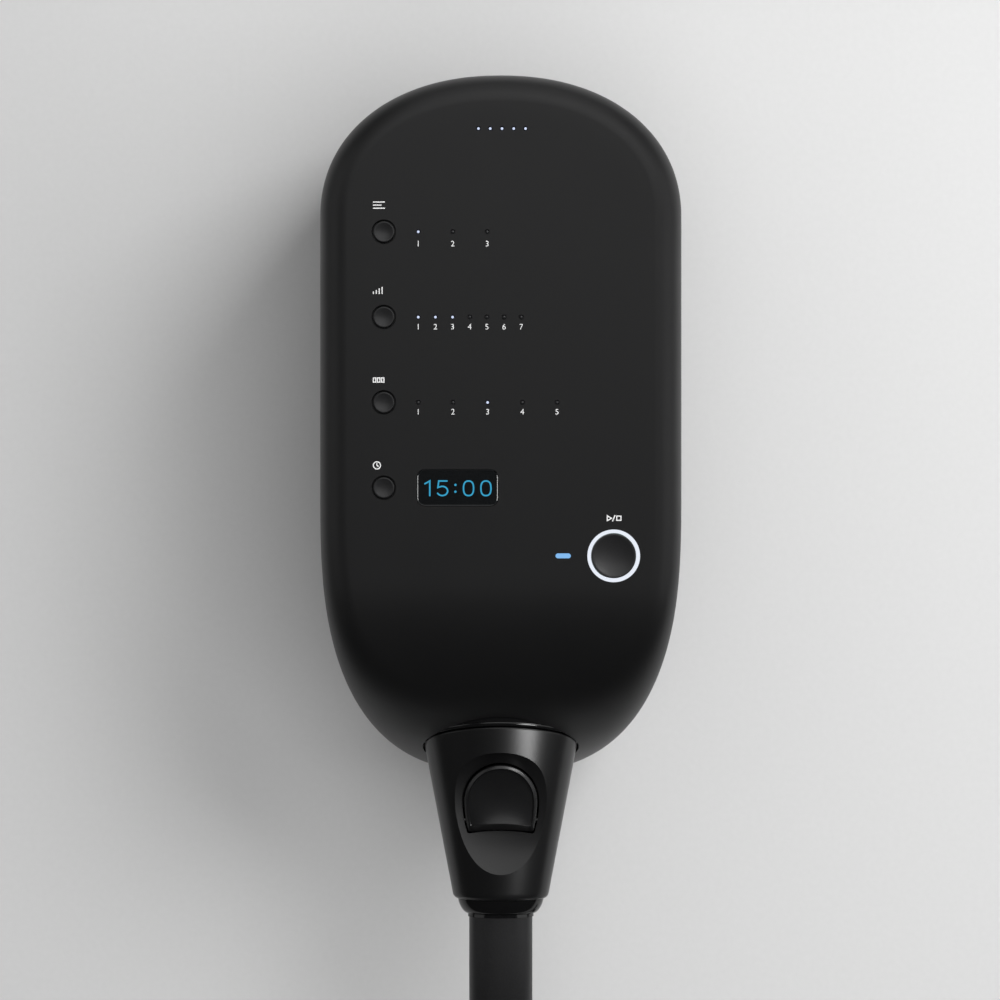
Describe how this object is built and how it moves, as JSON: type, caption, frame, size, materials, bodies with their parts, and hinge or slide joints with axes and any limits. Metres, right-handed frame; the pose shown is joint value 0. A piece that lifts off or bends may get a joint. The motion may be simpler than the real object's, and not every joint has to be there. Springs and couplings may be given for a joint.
{
  "type": "compression therapy pump",
  "caption": "Tabletop air pump for limb compression therapy: rounded casing with dished buttons, lights and a small display, a latched hose connector and a put-away air hose.",
  "frame": {"origin": "on the table, under the middle of the casing, which lies on its back", "axes": "+Z out of the face, +Y to the top end of the face, +X to the right of the face"},
  "size_m": [0.2503, 0.5507, 0.099],
  "materials": {
    "casing": "fine satin texture, moulded",
    "gloss_black": "polished black",
    "button": "satin, dished",
    "connector_plastic": "satin, moulded",
    "seal_rubber": "soft matte",
    "hose": "smooth satin extrusion",
    "light_guide": "clear, lit",
    "display_glass": "dark panel with lit numerals",
    "circuit_board": "solder mask",
    "steel": "plated",
    "aluminium": "plain",
    "frame_plastic": "glass filled",
    "battery_wrap": "shrink wrap",
    "clear_tube": "translucent silicone",
    "foam": "open foam",
    "ribbon": "flat cable"
  },
  "bodies": {
    "pump": {"front_shell": "casing", "rear_shell": "casing", "port_block": "gloss_black", "display_window": "gloss_black", "charge_jack": "gloss_black", "port_gasket": "seal_rubber", "rear_feet": "seal_rubber", "compressor_grommets": "seal_rubber", "battery_lights": "light_guide", "program_lights": "light_guide", "pressure_lights": "light_guide", "zone_lights": "light_guide", "link_light": "light_guide", "start_light_ring": "light_guide", "display_module": "display_glass", "control_board": "circuit_board", "main_board": "circuit_board", "board_screws": "steel", "casing_screws": "steel", "key_switches": "steel", "power_switch": "steel", "motor_can": "aluminium", "pump_cradle": "aluminium", "valve_head": "aluminium", "solenoid_valves": "aluminium", "chassis_frame": "frame_plastic", "pump_head": "frame_plastic", "valve_manifold": "frame_plastic", "battery_pack": "battery_wrap", "air_tubes": "clear_tube", "supply_tube": "clear_tube", "intake_filter": "foam", "ribbon_cable": "ribbon"},
    "hose": {"connector_upper_shell": "connector_plastic", "connector_lower_shell": "connector_plastic", "connector_nozzles": "gloss_black", "nozzle_seals": "seal_rubber", "connector_collar": "gloss_black", "connector_screws": "steel", "latch_pin": "steel", "latch_spring": "steel", "hose_run": "hose", "hose_coil": "hose", "far_plug_upper": "connector_plastic", "far_plug_lower": "connector_plastic", "far_plug_nozzles": "gloss_black", "far_plug_seals": "seal_rubber", "far_plug_collar": "gloss_black", "far_latch_pin": "steel", "far_latch_spring": "steel"},
    "program_button": {"program_button": "button"},
    "pressure_button": {"pressure_button": "button"},
    "zone_button": {"zone_button": "button"},
    "time_button": {"time_button": "button"},
    "start_button": {"start_button": "button"},
    "power_button": {"power_button": "button"},
    "motor_rotor": {"motor_shaft": "steel"},
    "latch": {"release_latch": "connector_plastic"},
    "far_latch": {"far_plug_latch": "connector_plastic"}
  },
  "joints": [
    {"name": "program_button_press", "type": "slide", "parent": "pump", "child": "program_button", "axis": [0, 0, -1], "range_m": [0, 0.0005], "stiffness_N_per_m": 600},
    {"name": "pressure_button_press", "type": "slide", "parent": "pump", "child": "pressure_button", "axis": [0, 0, -1], "range_m": [0, 0.0005], "stiffness_N_per_m": 600},
    {"name": "zone_button_press", "type": "slide", "parent": "pump", "child": "zone_button", "axis": [0, 0, -1], "range_m": [0, 0.0005], "stiffness_N_per_m": 600},
    {"name": "time_button_press", "type": "slide", "parent": "pump", "child": "time_button", "axis": [0, 0, -1], "range_m": [0, 0.0005], "stiffness_N_per_m": 600},
    {"name": "start_button_press", "type": "slide", "parent": "pump", "child": "start_button", "axis": [0, 0, -1], "range_m": [0, 0.0008], "stiffness_N_per_m": 600},
    {"name": "power_button_press", "type": "slide", "parent": "pump", "child": "power_button", "axis": [0, -1, 0], "range_m": [0, 0.0012], "stiffness_N_per_m": 600},
    {"name": "motor_spin", "type": "hinge", "parent": "pump", "child": "motor_rotor", "pos_m": [0, 0, 0.0389], "axis": [0, 1, 0], "continuous": true},
    {"name": "connector_pull", "type": "slide", "parent": "pump", "child": "hose", "axis": [0, -1, 0], "range_m": [0, 0.03]},
    {"name": "latch_press", "type": "hinge", "parent": "hose", "child": "latch", "pos_m": [0, -0.1222, 0.0752], "axis": [-1, 0, 0], "range_deg": [0, 4.5], "stiffness_Nm_per_rad": 0.6, "springref_deg": -2.86, "deforming": ["latch_spring"]},
    {"name": "far_latch_press", "type": "hinge", "parent": "hose", "child": "far_latch", "pos_m": [0.15045, -0.256, 0.0115], "axis": [1, 0, 0], "range_deg": [0, 7], "stiffness_Nm_per_rad": 0.2, "springref_deg": -2.86, "deforming": ["far_latch_spring"]}
  ]
}
